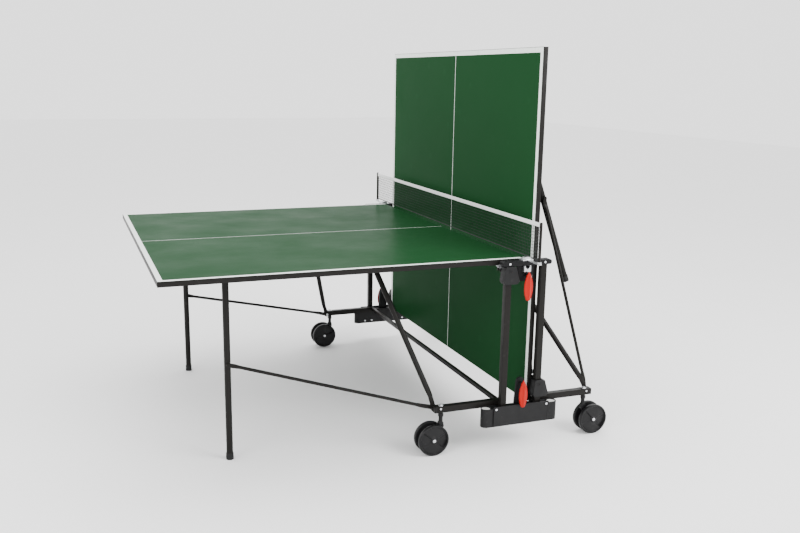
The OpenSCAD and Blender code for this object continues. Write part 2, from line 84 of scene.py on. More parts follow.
# ---------- materials ----------
class Nodes:
    """Small helper round a material's node tree."""

    def __init__(self, name):
        self.mat = bpy.data.materials.new(name)
        self.mat.use_nodes = True
        self.tree = self.mat.node_tree
        self.bsdf = self.tree.nodes["Principled BSDF"]
        self.coord = self.tree.nodes.new("ShaderNodeTexCoord").outputs["Object"]

    def link(self, a, b):
        self.tree.links.new(a, b)

    def new(self, kind):
        return self.tree.nodes.new(kind)

    def noise(self, scale, detail=3.0, stretch=None):
        n = self.new("ShaderNodeTexNoise")
        n.inputs["Scale"].default_value = scale
        n.inputs["Detail"].default_value = detail
        n.inputs["Roughness"].default_value = 0.55
        src = self.coord
        if stretch:
            m = self.new("ShaderNodeMapping")
            m.inputs["Scale"].default_value = stretch
            self.link(src, m.inputs["Vector"])
            src = m.outputs["Vector"]
        self.link(src, n.inputs["Vector"])
        return n.outputs["Fac"]

    def cells(self, scale):
        """Distance to the nearest point of a random scatter."""
        n = self.new("ShaderNodeTexVoronoi")
        n.inputs["Scale"].default_value = scale
        self.link(self.coord, n.inputs["Vector"])
        return n.outputs["Distance"]

    def ramp(self, fac, *stops):
        """Grey levels at the given places between 0 and 1."""
        n = self.new("ShaderNodeValToRGB")
        for e, (pos, grey) in zip(n.color_ramp.elements, stops):
            e.position = pos
            e.color = (grey, grey, grey, 1)
        self.link(fac, n.inputs["Fac"])
        return n.outputs["Color"]

    def mix(self, fac, a, b):
        n = self.new("ShaderNodeMix")
        n.data_type = "RGBA"
        sockets = [s for s in n.inputs if s.type == "RGBA"]
        self.link(fac, n.inputs[0])
        for s, v in zip(sockets, (a, b)):
            if isinstance(v, tuple):
                s.default_value = (*v, 1)
            else:
                self.link(v, s)
        return [s for s in n.outputs if s.type == "RGBA"][0]

    def math(self, op, a, b):
        n = self.new("ShaderNodeMath")
        n.operation = op
        for s, v in zip(n.inputs, (a, b)):
            if isinstance(v, (int, float)):
                s.default_value = v
            else:
                self.link(v, s)
        return n.outputs[0]

    def range(self, fac, lo, hi):
        """Spreads the middle of a noise over lo to hi."""
        n = self.new("ShaderNodeMapRange")
        n.inputs["From Min"].default_value = 0.3
        n.inputs["From Max"].default_value = 0.7
        n.inputs["To Min"].default_value = lo
        n.inputs["To Max"].default_value = hi
        self.link(fac, n.inputs["Value"])
        return n.outputs["Result"]

    def bump(self, height, strength, distance):
        n = self.new("ShaderNodeBump")
        n.inputs["Strength"].default_value = strength
        n.inputs["Distance"].default_value = distance
        self.link(height, n.inputs["Height"])
        self.link(n.outputs["Normal"], self.bsdf.inputs["Normal"])

    def out(self, color, rough, **flat):
        """Ends the tree; flat values have _ for the space in a socket's name."""
        self.link(color, self.bsdf.inputs["Base Color"])
        self.link(rough, self.bsdf.inputs["Roughness"])
        for k, v in flat.items():
            self.bsdf.inputs[k.replace("_", " ")].default_value = v
        return self.mat


def paint_metal(name, dark, light, rough=(0.32, 0.46)):
    """Powder-coated steel: orange peel, faint rubbed patches and scratches."""
    wear = (0.16, 0.15, 0.14)
    n = Nodes(name)
    col = n.mix(n.noise(6, 4), dark, light)
    scratch = n.ramp(n.noise(60, 6, (1, 1, 6)), (0.66, 0.0), (0.72, 1.0))
    rubbed = n.ramp(n.noise(33, 6), (0.64, 0.0), (0.72, 1.0))
    col = n.mix(n.math("MULTIPLY", rubbed, 0.05), col, wear)
    col = n.mix(n.math("MULTIPLY", scratch, 0.10), col, wear)
    n.bump(n.noise(420, 2), 0.22, 0.0006)
    return n.out(col, n.range(n.noise(24, 4), *rough), Specular_IOR_Level=0.4, IOR=1.22)


def moulded(name, dark, light, rough=(0.42, 0.58), grain=900, strength=0.28):
    """Moulded plastic with a fine grain and paler scuffed patches."""
    n = Nodes(name)
    col = n.mix(n.noise(9, 4), dark, light)
    pale = tuple(min(1, c * 2.2 + 0.03) for c in light)
    scuffed = n.ramp(n.noise(45, 6), (0.60, 0.0), (0.74, 1.0))
    col = n.mix(n.math("MULTIPLY", scuffed, 0.25), col, pale)
    n.bump(n.math("ADD", n.cells(grain), n.noise(200, 3)), strength, 0.0004)
    return n.out(col, n.range(n.noise(40, 4), *rough), Specular_IOR_Level=0.2)


def zinc(name):
    """Bright zinc plate: spangled tone, brushed roughness."""
    bright = (0.62, 0.63, 0.65)
    dull = tuple(c * 0.72 for c in bright)
    n = Nodes(name)
    col = n.mix(n.range(n.cells(260), 0.0, 0.5), bright, dull)
    col = n.mix(n.ramp(n.noise(50, 5), (0.58, 0.0), (0.75, 0.6)), col, (0.4, 0.38, 0.34))
    n.bump(n.noise(500, 3, (1, 1, 8)), 0.15, 0.0004)
    return n.out(col, n.range(n.noise(120, 4), 0.22, 0.4), Metallic=0.9)


def board_paint(name, axis, side, level):
    """Semi-gloss green coat; sealed chipboard where the axis is on that side of the level."""
    n = Nodes(name)
    col = n.mix(n.noise(1.6, 3), (0.0070, 0.0400, 0.0125), (0.0090, 0.0460, 0.0155))
    # faint ball marks
    marks = n.ramp(n.cells(9), (0.10, 1.0), (0.16, 0.0))
    col = n.mix(n.math("MULTIPLY", marks, 0.10), col, (0.02, 0.07, 0.03))
    flakes = n.ramp(n.noise(160, 5), (0.35, 0.0), (0.65, 1.0))
    chips = n.mix(flakes, (0.008, 0.014, 0.010), (0.020, 0.030, 0.022))
    place = n.new("ShaderNodeSeparateXYZ")
    n.link(n.coord, place.inputs[0])
    behind = n.math(side, place.outputs[axis], level)
    col = n.mix(behind, col, chips)
    rough = n.math("ADD", n.range(n.noise(5, 5), 0.30, 0.40), n.math("MULTIPLY", behind, 0.3))
    n.bump(n.math("ADD", n.noise(700, 2), n.math("MULTIPLY", n.noise(90, 3), 0.5)), 0.12, 0.0005)
    return n.out(col, rough, Specular_IOR_Level=0.45, IOR=1.05)


def line_paint(name):
    """White line paint, greyed in patches by play."""
    n = Nodes(name)
    col = n.mix(n.noise(30, 5), (0.72, 0.76, 0.73), (0.82, 0.85, 0.82))
    col = n.mix(n.ramp(n.noise(14, 6), (0.62, 0.0), (0.74, 0.45)), col, (0.55, 0.6, 0.55))
    n.bump(n.noise(600, 2), 0.12, 0.0004)
    return n.out(col, n.range(n.noise(30, 4), 0.32, 0.45))


def red_plastic(name):
    """Glossy red plastic of the lock handles, with lighter rubbed patches."""
    n = Nodes(name)
    col = n.mix(n.noise(14, 3), (0.30, 0.0040, 0.0015), (0.38, 0.0060, 0.0022))
    rubbed = n.ramp(n.noise(70, 6), (0.60, 0.0), (0.74, 1.0))
    col = n.mix(n.math("MULTIPLY", rubbed, 0.2), col, (0.45, 0.02, 0.008))
    n.bump(n.noise(500, 2), 0.06, 0.0004)
    return n.out(col, n.range(n.noise(60, 4), 0.30, 0.40), Specular_IOR_Level=0.12)


def threads(n, direction, pitch):
    """One set of parallel threads, pitch in metres."""
    t = n.new("ShaderNodeTexWave")
    t.wave_type = "BANDS"
    t.bands_direction = direction
    t.inputs["Scale"].default_value = 0.314 / pitch / 2
    t.inputs["Distortion"].default_value = 0.6
    n.link(n.coord, t.inputs["Vector"])
    return t.outputs["Fac"]


def woven(name, a, b, pitch, sheen=0.2):
    """Two crossed sets of threads, soiled in patches."""
    n = Nodes(name)
    along, across = (threads(n, direction, pitch) for direction in ("Y", "Z"))
    weave = n.math("MULTIPLY", along, across)
    col = n.mix(weave, a, b)
    soiled = n.ramp(n.noise(35, 5), (0.5, 0.0), (0.8, 1.0))
    col = n.mix(n.math("MULTIPLY", soiled, 0.35), col, tuple(c * 0.7 for c in a))
    n.bump(weave, 0.4, 0.0005)
    return n.out(col, n.range(n.noise(80, 3), 0.75, 0.9), Sheen_Weight=sheen)


BLACK = paint_metal("black_powder_coat", (0.0065, 0.0060, 0.0054), (0.0100, 0.0092, 0.0084))
DARK = paint_metal("dark_plate_coat", (0.0055, 0.0055, 0.006), (0.0085, 0.0085, 0.009), (0.4, 0.55))
PLASTIC = moulded("black_plastic", (0.0035, 0.0035, 0.0038), (0.006, 0.006, 0.0065))
CASTOR = moulded("castor_plastic", (0.003, 0.003, 0.0033), (0.005, 0.005, 0.0055), (0.38, 0.52))
TREAD = moulded("wheel_plastic", (0.0035, 0.0035, 0.0038), (0.0065, 0.0065, 0.007), (0.3, 0.42), 600, 0.12)
RUBBER = moulded("foot_rubber", (0.006, 0.006, 0.006), (0.011, 0.011, 0.011), (0.6, 0.75), 500, 0.35)
ZINC = zinc("bright_zinc")
# painted light: a pale plastic for the discs that stand in for the brightness seen in the foot housings' open ends
PAINTED_LIGHT_WHITE = moulded("painted_light_plastic", (0.50, 0.50, 0.49), (0.62, 0.62, 0.60), (0.35, 0.5))
RED = red_plastic("red_plastic")
LINE = line_paint("line_paint")
NET = woven("net_yarn", (0.0035, 0.0065, 0.005), (0.008, 0.015, 0.011), 0.0008, 0.0)
TAPE = woven("white_tape", (0.62, 0.64, 0.62), (0.84, 0.86, 0.84), 0.0011)
CORD = woven("black_cord", (0.004, 0.004, 0.004), (0.012, 0.012, 0.012), 0.0012, 0.05)


def paint(node, mat):
    """Gives a CAD piece its material and leaves its shape."""
    o = NODES[node]
    o.data.materials.clear()
    o.data.materials.append(mat)


# ---------- mesh helpers ----------
def circle(n):
    """The angles of n even steps round a full turn."""
    return [2 * math.pi * k / n for k in range(n)]


def add(name, shape, mat, body, smooth=30):
    """A new piece from its verts and faces, on a body."""
    verts, faces = shape
    me = bpy.data.meshes.new(name)
    me.from_pydata([tuple(v) for v in verts], [], faces)
    return finish_piece(name, me, mat, body, smooth)


def finish_piece(name, me, mat, body, smooth):
    bm = bmesh.new()
    bm.from_mesh(me)
    bmesh.ops.remove_doubles(bm, verts=bm.verts, dist=1e-6)
    bmesh.ops.recalc_face_normals(bm, faces=bm.faces)
    bm.to_mesh(me)
    bm.free()
    me.shade_smooth()
    me.set_sharp_from_angle(angle=math.radians(smooth))
    me.materials.clear()
    me.materials.append(mat)
    o = bpy.data.objects.new(name, me)
    bpy.context.collection.objects.link(o)
    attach(o, body)
    return o


def body_of(node):
    for body, nodes in frame["record"]["behaviour"]["bodies"].items():
        if node in nodes:
            return body


def soften(node, width, mat, segments=2):
    """Replaces a CAD piece by its own shape with the edges rounded over, width in mm."""
    me = NODES[node].data.copy()
    bm = bmesh.new()
    bm.from_mesh(me)
    bmesh.ops.remove_doubles(bm, verts=bm.verts, dist=1e-6)
    bmesh.ops.dissolve_limit(bm, angle_limit=math.radians(0.6), verts=bm.verts, edges=bm.edges, delimit=set())
    sharp = [e for e in bm.edges if len(e.link_faces) == 2 and e.calc_face_angle(0) > math.radians(28)]
    bmesh.ops.bevel(bm, geom=sharp, offset=width * MM, offset_type="OFFSET", segments=segments, profile=0.6,
                    affect="EDGES", clamp_overlap=True)
    bm.to_mesh(me)
    bm.free()
    o = finish_piece("soft_" + node, me, mat, body_of(node), 35)
    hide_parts(node)


def loft(rings, closed_ends=True):
    """Verts and faces through rings of points, each ring the same length."""
    n = len(rings[0])
    verts = [p for r in rings for p in r]
    faces = []
    for i in range(len(rings) - 1):
        for j in range(n):
            k = (j + 1) % n
            faces.append((i * n + j, i * n + k, (i + 1) * n + k, (i + 1) * n + j))
    if closed_ends:
        faces.append(tuple(range(n))[::-1])
        faces.append(tuple(range((len(rings) - 1) * n, len(rings) * n)))
    return verts, faces


def merge(parts):
    """One set of verts and faces from several."""
    verts, faces = [], []
    for v, f in parts:
        k = len(verts)
        verts += list(v)
        faces += [tuple(i + k for i in q) for q in f]
    return verts, faces


def lathe(profile, origin, axis, n=48):
    """profile of (radius, distance along axis) from one pole to the other."""
    axis = Vector(axis).normalized()
    a = axis.orthogonal().normalized()
    b = axis.cross(a)
    rings = []
    for r, h in profile:
        rings.append([Vector(origin) + axis * h + (a * math.cos(t) + b * math.sin(t)) * max(r, 1e-5)
                      for t in circle(n)])
    return loft(rings)


def in_metres(profile):
    return [(r * MM, h * MM) for r, h in profile]


# ---------- boards, lines, steel ----------
paint("a_board", board_paint("board_flat", "Z", "LESS_THAN", 0.7595))
paint("b_board", board_paint("board_upright", "X", "GREATER_THAN", MID + 0.0435))
for half, _ in HALVES:
    paint(half + "_lines", LINE)
    for node, w in (("edge", 0.5), ("rails", 1.6), ("brackets", 0.5)):
        soften(half + "_" + node, w, BLACK)
    soften(half + "_sliders", 2.2, PLASTIC, 3)
    soften(half + "_feet", 2.0, RUBBER, 3)
    paint(half + "_slider_pins", ZINC)
    paint(half + "_legs", BLACK)
    paint(half + "_leg_axle", BLACK)

for node, w in (("side_beams", 2.0), ("cross_tubes", 2.0), ("posts", 2.4), ("pivot_plates", 0.6)):
    soften(node, w, BLACK, 3)
for node, w in (("bridges", 1.5), ("lock_plates_top", 1.2), ("lock_plates_low", 1.2)):
    soften(node, w, DARK, 3)
for node, w in (("foot_shells", 1.0), ("foot_covers", 1.0), ("beam_plugs", 1.2)):
    soften(node, w, PLASTIC, 3)
for node, w in (("catches", 0.8), ("net_arms", 0.8), ("stem_caps", 0.7)):
    soften(node, w, ZINC)
soften("net_posts", 0.8, BLACK)
for corner in CORNERS:
    soften("castor_" + corner, 1.6, CASTOR, 3)


# ---------- screws and rivets ----------
HOUSING_FACE = 0.8  # a screw further out than this is on a housing's outer face


def domed_heads(node, centres, radius, height, out_sign):
    """Domed heads with a small recess, in place of the CAD ones."""
    parts = []
    for c in centres:
        prof = [(0, -0.5 * MM), (radius, -0.5 * MM), (radius, 0.25 * height)]
        prof += [(radius * math.cos(a), 0.25 * height + 0.75 * height * math.sin(a))
                 for a in (0.3, 0.6, 0.9, 1.2)]
        prof += [(radius * 0.34, height * 0.97), (radius * 0.30, height * 0.55), (0, height * 0.5)]
        parts.append(lathe(prof, c, (0, out_sign(c), 0), 28))
    o = add("heads_" + node, merge(parts), ZINC, body_of(node), 40)
    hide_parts(node)


def solid_boxes(node):
    """Lowest and highest corner of each separate solid of a node."""
    bm = bmesh.new()
    bm.from_mesh(NODES[node].data)
    bmesh.ops.remove_doubles(bm, verts=bm.verts, dist=1e-6)
    left, boxes = set(bm.verts), []
    while left:
        stack, part = [left.pop()], []
        while stack:
            v = stack.pop()
            part.append(v.co.copy())
            for e in v.link_edges:
                w = e.other_vert(v)
                if w in left:
                    left.remove(w)
                    stack.append(w)
        lo = Vector(min(p[i] for p in part) for i in range(3))
        hi = Vector(max(p[i] for p in part) for i in range(3))
        boxes.append((lo, hi))
    bm.free()
    return sorted(boxes, key=lambda q: tuple(round(c, 4) for c in q[0]))


def side_of(y):
    return 1 if y > 0 else -1


def bridge_rivets():
    centres = []
    for lo, hi in solid_boxes("bridge_rivets"):
        y = min(abs(lo.y), abs(hi.y))
        centres.append(Vector(((lo.x + hi.x) / 2, side_of(lo.y) * y, (lo.z + hi.z) / 2)))
    domed_heads("bridge_rivets", centres, 4.5 * MM, 1.9 * MM, lambda c: side_of(c.y))


def foot_screws():
    """Screws on both faces of each housing; a head stands out on its own face."""
    centres = []
    for lo, hi in solid_boxes("foot_screws"):
        inner, outer = sorted((abs(lo.y), abs(hi.y)))
        y = inner + 1 * MM if outer > HOUSING_FACE else outer
        centres.append(Vector(((lo.x + hi.x) / 2, side_of(lo.y) * y, (lo.z + hi.z) / 2)))
    domed_heads("foot_screws", centres, 4.8 * MM, 1.9 * MM,
                lambda c: (1 if abs(c.y) > HOUSING_FACE else -1) * side_of(c.y))


bridge_rivets()
foot_screws()


# ---------- pale discs in the round ends of the foot housings: painted light, standing in for the brightness seen through their open ends ---
def housing_light_discs():
    """One at each round end: on top of the near housing, under the far one. These are painted light: pale discs
    that stand in for the brightness seen through the housings' open round ends.
    """
    prof = in_metres([(0, -2.5), (17.0, -2.5), (17.1, -0.4), (16.4, 0.5),
                      (14.2, 0.8), (13.2, 0.2), (6, 0.9), (0, 1.1)])
    discs = []
    for end in SIDES:
        for side, z, facing in ((-1, 0.1715, 1), (1, 0.1035, -1)):
            at = (MID + end * 0.1445, side * 0.7825, z)
            discs.append(lathe(prof, at, (0, 0, facing), 40))
    add("housing_light_discs", merge(discs), PAINTED_LIGHT_WHITE, "base", 40)


housing_light_discs()


# ---------- wheels ----------
INNER_FACE = 14  # mm from a wheel's middle to the inner face of each disc
HUB_CAP_R = 6.7


def disc_profile(R):
    """(radius, distance out from the inner face, share of the sector steps) in mm, hub to tread to hub."""
    inner_face = [(5.2, -5.5, 0), (13.4, -5.5, 0), (14.0, -4.9, 0), (14.4, 0.3, 0), (30, 0.0, 0)]
    tread = [(R - 6, 0.0, 0), (R - 2.4, 0.8, 0), (R - 0.6, 2.6, 0), (R, 5.4, 0),
             (R, 12.4, 0), (R - 0.7, 15.0, 0), (R - 2.6, 17.0, 0), (R - 5.0, 17.6, 0)]
    rim = [(R - 6.8, 17.0, 0), (R - 7.8, 15.4, 0), (R - 8.4, 13.6, 0)]
    sectors = [(R - 9.4, 13.0, 0.5), (R - 10.6, 13.1, 1), (R - 17, 13.7, 1), (R - 25, 14.6, 1),
               (R - 33, 15.5, 1), (R - 40, 16.2, 1), (17.5, 16.7, 1), (14.5, 17.0, 0.6)]
    hub = [(12.8, 18.0, 0), (11.6, 19.4, 0), (9.8, 20.0, 0), (8.4, 19.9, 0), (7.4, 19.2, 0), (6.8, 18.2, 0)]
    return inner_face + tread + rim + sectors + hub


def sector_lift(angle):
    """Two wide sectors stand above two narrow ones, and every sector leans to one side."""
    above = math.cos(math.radians(68)) - math.cos(2 * angle)
    lean = math.sin(2 * angle) * (1.0 if above > 0 else 2.4)
    return 2.2 * max(-1.0, min(1.0, above * 9.0)) - 1.9 + 0.9 * lean


def twin_discs(c, R, turn):
    parts = []
    for m in SIDES:
        rings = []
        for r, h, share in disc_profile(R):
            points = []
            for t in circle(144):
                out = INNER_FACE + h + share * sector_lift(t - turn)
                points.append(c + Vector((math.cos(t) * r, m * out, math.sin(t) * r)) * MM)
            rings.append(points)
        parts.append(loft(rings))
    parts.append(lathe(in_metres([(0, -9), (5.0, -9), (5.0, 9), (0, 9)]), c, (0, 1, 0), 32))
    return merge(parts)


def hub_caps(c):
    dome = [(HUB_CAP_R * math.cos(a), 1.2 + 2.0 * math.sin(a)) for a in (0.25, 0.5, 0.75, 1.0, 1.25, 1.45)]
    prof = in_metres([(0, 0), (HUB_CAP_R, 0), (HUB_CAP_R, 1.2)] + dome + [(0, 3.25)])
    return merge([lathe(prof, c + Vector((0, m * 31.6 * MM, 0)), (0, m, 0), 32) for m in SIDES])


def wheel(corner, turn):
    """Twin discs with hub caps; turn is how far its sectors are rolled round, in radians."""
    node = "wheel_" + corner
    lo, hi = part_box(node)
    c = (lo + hi) / 2
    o = add("discs_" + corner, twin_discs(c, (hi.z - lo.z) / 2 / MM, turn), TREAD, node, 28)
    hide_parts(node)
    add("hub_caps_" + corner, hub_caps(c), ZINC, node, 40)


for corner, turn in zip(CORNERS, (-0.1, -0.23, 0.9, 0.4)):
    wheel(corner, turn)


# ---------- lock handles ----------
HANDLE_BACK = 0.811  # the handles' rear face, from the table's middle
HANDLE_W = 18.5 * MM  # half of the greatest width


def handle_half_width(z, h):
    """A leaf: widest at 0.45 of its height h, pointed above, round below."""
    up = 0.55 * h
    big = (up * up + HANDLE_W * HANDLE_W) / (2 * HANDLE_W)
    foot = 0.6 * HANDLE_W
    side = max(0.0, math.sqrt(max(0.0, big ** 2 - (z - (h - up)) ** 2)) - (big - HANDLE_W))
    if z < foot:
        return min(side, math.sqrt(max(0.0, foot ** 2 - (foot - z) ** 2)))
    return side


def handle_depths(s, z, h, w):
    """Front and rear depth at share s of the half width w: full rims, a ridge in front, a hollow behind."""
    full = min(1.0, w / (9 * MM))
    rim = math.sqrt(max(0.0, 1 - s ** 3.2))
    ridge = max(0.0, 1 - s / 0.5)
    ridge = ridge * ridge * (3 - 2 * ridge)
    fade = min(1, z / (24 * MM)) * min(1, (h - z) / (20 * MM))
    front = (3.2 + 5.2 * rim * full + 5.2 * ridge * full * fade) * MM
    hollow = (1.1 - 1.1 * rim * full) * MM
    return front, hollow + 0.2 * MM


def grid_shell(rows, cols):
    """Faces of a front and a rear grid of points, joined round their edges."""
    n = cols + 1
    rear = (rows + 1) * n
    faces = []
    for i in range(rows):
        for j in range(cols):
            a = i * n + j
            faces.append((a, a + 1, a + n + 1, a + n))
            faces.append((rear + a, rear + a + n, rear + a + n + 1, rear + a + 1))
        for j in (0, cols):
            a = i * n + j
            faces.append((a, a + n, rear + a + n, rear + a))
    for i in (0, rows):
        for j in range(cols):
            a = i * n + j
            faces.append((a, rear + a, rear + a + 1, a + 1))
    return faces


def lock(node, side):
    """A leaf-shaped handle with its hinge roll behind the top."""
    lo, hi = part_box(node)
    z0, h = lo.z, hi.z - lo.z
    rows, cols = 48, 20
    front, rear = [], []
    for i in range(rows + 1):
        z = h * (0.5 - 0.5 * math.cos(math.pi * (i / rows)))
        w = handle_half_width(z, h)
        for j in range(cols + 1):
            u = -1 + 2 * j / cols
            out, back = handle_depths(abs(u), z, h, w)
            front.append(Vector((MID + w * u, side * (HANDLE_BACK + out), z0 + z)))
            rear.append(Vector((MID + w * u * 0.985, side * (HANDLE_BACK + back), z0 + z)))
    roll = lathe(in_metres([(0, -8), (3.3, -8), (3.9, -7.3), (3.9, 7.3), (3.3, 8), (0, 8)]),
                 (MID, side * HANDLE_BACK, z0 + h - 17 * MM), (1, 0, 0), 24)
    leaf = (front + rear, grid_shell(rows, cols))
    o = add("handle_" + node, merge([leaf, roll]), RED, node, 50)
    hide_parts(node)


for place, side in (("near", -1), ("far", 1)):
    for height in ("top", "low"):
        lock("lock_" + place + "_" + height, side)


# ---------- struts and stays with flattened ends ----------
LOWER_PIVOT = (0.341537, 0.179)  # of the struts and stays: x from the net plane, and z
SQUARENESS = (5.0, 2.0)  # power of the section's curve at the flat eyes, and along the round tube


def oval(c, ax, ay, rx, ry, power):
    """28 points round c; power 2 is an ellipse, and a higher one is squarer."""
    out = []
    for t in circle(28):
        ca, sa = math.cos(t), math.sin(t)
        x = math.copysign(abs(ca) ** (2 / power), ca)
        y = math.copysign(abs(sa) ** (2 / power), sa)
        out.append(c + ax * (rx * x) + ay * (ry * y))
    return out


def link(lower, upper, side, y_low, y_up, r, eye_low, eye_up, flat_low, flat_up, thick):
    """A tube from the lower pivot to the upper one, flattened into an eye at each end.
    lower, upper: (x, z); y_low, y_up: distance of the eyes' middle planes from the table's middle;
    r: radius of the tube; eye_low, eye_up: radii of the eyes;
    flat_low, flat_up: lengths of the flats; thick: their thickness."""
    a, b = Vector((lower[0], 0, lower[1])), Vector((upper[0], 0, upper[1]))
    u = (b - a).normalized()
    w = Vector((u.z, 0, -u.x))
    yy = Vector((0, 1, 0))
    length = (b - a).length
    flat, round_ = SQUARENESS
    steps = 8
    s0, s1 = flat_low * 0.62, flat_low * 1.35
    e1, e0 = length - flat_up * 1.35, length - flat_up * 0.62

    def centre_y(s):
        t = max(0.0, min(1.0, (s - flat_low * 0.8) / (length - flat_low * 0.8 - flat_up * 0.8)))
        return y_low + (y_up - y_low) * t

    def swell(s, eye, k):
        """The change from the flat, at k = 0, to the round tube, at k = 1."""
        return (s, centre_y(s), eye * 0.99 + (r - eye * 0.99) * k, thick / 2 + (r - thick / 2) * k,
                flat + (round_ - flat) * k)

    # each station is (distance along, y, half width, half thickness, power of the section's curve)
    round_end = (0.0, 0.25, 0.55, 0.8, 0.94, 0.999)
    stations = [(-q * eye_low, y_low, eye_low * math.sqrt(max(0.0, 1 - q * q)), thick / 2, flat)
                for q in reversed(round_end)]
    stations.append((s0, y_low, eye_low * 0.99, thick / 2, flat))
    for i in range(1, steps + 1):
        t = i / steps
        stations.append(swell(s0 + (s1 - s0) * t, eye_low, t * t * (3 - 2 * t)))
    for i in range(steps):
        t = i / steps
        stations.append(swell(e1 + (e0 - e1) * t, eye_up, 1 - t * t * (3 - 2 * t)))
    stations.append((e0, y_up, eye_up * 0.99, thick / 2, flat))
    stations += [(length + q * eye_up, y_up, eye_up * math.sqrt(max(0.0, 1 - q * q)), thick / 2, flat)
                 for q in round_end]
    return loft([oval(a + u * s + yy * (side * y), w, yy, max(rx, 0.2 * MM), ry, power)
                 for s, y, rx, ry, power in stations])


def strut(base, top, side):
    return link(base, top, side, 0.7248, 0.484, 10.9 * MM, 9.4 * MM, 8.9 * MM, 70 * MM, 44 * MM, 4.8 * MM)


def stay(base, top, side):
    return link(base, top, side, 0.7193, 0.5643, 6.4 * MM, 8.4 * MM, 8.4 * MM, 60 * MM, 34 * MM, 3.9 * MM)


def stay_bolt(base, side):
    """The hexagon head on the inner side of a stay's lower eye."""
    r, h = 6.8 * MM, 5.6 * MM
    prof = [(0, 0), (r, 0), (r, 0.8 * h), (r * 0.86, h), (r * 0.3, h * 1.02), (0, h * 1.02)]
    return lathe(prof, Vector((base[0], side * 0.7173, base[1])), (0, -side, 0), 6)


def leg_rivet(top, side):
    """The rounded head of the leg stud that holds a stay."""
    prof = in_metres([(0, 0), (6.9, 0), (6.9, 1.2), (5.6, 2.6), (3.0, 3.5), (0, 3.8)])
    return lathe(prof, (top[0], side * 0.5676, top[1]), (0, side, 0), 28)


def joint_xz(name):
    for j in frame["joints"]:
        if j["name"] == name:
            pos = Vector(j["pos_m"])
            return pos.x, pos.z


def links(half, sx):
    """The struts and stays of one half, near and far, with their fastenings."""
    base = (MID + sx * LOWER_PIVOT[0], LOWER_PIVOT[1])
    strut_top = joint_xz(half + "_strut_turn")
    stay_top = joint_xz(half + "_stay_turn")
    o = add("strut_pair_" + half, merge([strut(base, strut_top, side) for side in SIDES]),
            BLACK, half + "_strut", 35)
    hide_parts(half + "_struts", half + "_strut_ends")
    o = add("stay_pair_" + half, merge([stay(base, stay_top, side) for side in SIDES]),
            BLACK, half + "_stay", 35)
    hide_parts(half + "_stays")
    add("stay_bolts_" + half, merge([stay_bolt(base, side) for side in SIDES]),
        ZINC, half + "_stay", 30)
    add("leg_rivets_" + half, merge([leg_rivet(stay_top, side) for side in SIDES]),
        ZINC, half + "_leg", 40)


for half, sx in HALVES:
    links(half, sx)


# ---------- pivot bushes and keeper plates ----------
def ring(c, axis, outer, inner, h, n=28):
    """A bush with bevelled rims."""
    prof = [(inner, 0), (outer, 0), (outer, 0.7 * h), (outer - 0.3 * h, h),
            (inner + 0.3 * h, h), (inner, 0.6 * h)]
    a = Vector(axis)
    u = a.orthogonal().normalized()
    w = a.cross(a.orthogonal()).normalized()
    rings = [[Vector(c) + a * d + (u * math.cos(t) + w * math.sin(t)) * r for t in circle(n)]
             for r, d in prof + prof[:1]]
    return loft(rings, False)


def slider_bushes(half, sx):
    lo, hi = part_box(half + "_slider_pins")
    z = (lo.z + hi.z) / 2
    bushes = [ring((MID + sx * 0.075, side * 0.8028, z), (0, side, 0), 6.2 * MM, 3.6 * MM, 1.6 * MM)
              for side in SIDES]
    add("slider_bushes_" + half, merge(bushes), PLASTIC, half + "_slider", 40)


for half, sx in HALVES:
    slider_bushes(half, sx)


def rounded(corners, radius):
    """The outline with each corner cut to a curve of three points."""
    pts = []
    n = len(corners)
    for i, corner in enumerate(corners):
        p, q, r = Vector(corners[i - 1]), Vector(corner), Vector(corners[(i + 1) % n])
        a = q + (p - q).normalized() * radius * MM
        b = q + (r - q).normalized() * radius * MM
        pts += [(1 - t) ** 2 * a + 2 * t * (1 - t) * q + t * t * b for t in (0.0, 0.5, 1.0)]
    return pts


def keeper(name, corners, body):
    """A small bright plate with a bevelled rim on each side, from its outline in (x, z)."""
    y0, y1, rim = 0.7575, 0.7600, 0.4 * MM
    pts = rounded(corners, 3)
    mid = sum((Vector(c) for c in corners), Vector((0, 0))) / len(corners)
    layers = ((y0, 0.97), (y0 + rim, 1.0), (y1 - rim, 1.0), (y1, 0.97))
    parts = []
    for side in SIDES:
        rings = []
        for y, k in layers:
            rings.append([Vector((mid.x + (p.x - mid.x) * k, side * y, mid.y + (p.y - mid.y) * k))
                          for p in pts])
        parts.append(loft(rings))
    add(name, merge(parts), ZINC, body, 30)


keeper("keepers_a", [(MID - 0.116, 0.7398), (MID - 0.088, 0.7398), (MID - 0.090, 0.720), (MID - 0.104, 0.726)],
       "a_half")
keeper("keepers_b", [(MID + 0.0625, 0.284), (MID + 0.0625, 0.305), (MID + 0.087, 0.303), (MID + 0.081, 0.291)],
       "b_half")


# ---------- net ----------
def tube_along(points, r, n=5):
    """A thin round tube through points in a plane across X."""
    rings = []
    pts = [Vector(p) for p in points]
    for i, p in enumerate(pts):
        d = (pts[min(i + 1, len(pts) - 1)] - pts[max(i - 1, 0)]).normalized()
        a = d.cross(Vector((1, 0, 0))).normalized()
        b = d.cross(a)
        rings.append([p + a * (r * math.cos(t)) + b * (r * math.sin(t)) for t in circle(n)])
    return loft(rings)


def make_cord():
    """Three-strand cord along the foot of the mesh, drawn tight from post to post."""
    lo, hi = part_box("net_cord")
    r, z = (hi.z - lo.z) / 2, (lo.z + hi.z) / 2
    lay_length = 24 * MM
    steps = 580
    rings = []
    for i in range(steps + 1):
        y = lo.y + (hi.y - lo.y) * i / steps
        lay = 2 * math.pi * (y - lo.y) / lay_length
        points = []
        for t in circle(15):
            bulge = 0.9 + 0.1 * math.cos(3 * (t - lay))
            points.append(Vector((MID + math.cos(t) * r * bulge, y, z + math.sin(t) * r * bulge)))
        rings.append(points)
    o = add("foot_cord", loft(rings), CORD, "base", 50)
    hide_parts("net_cord")


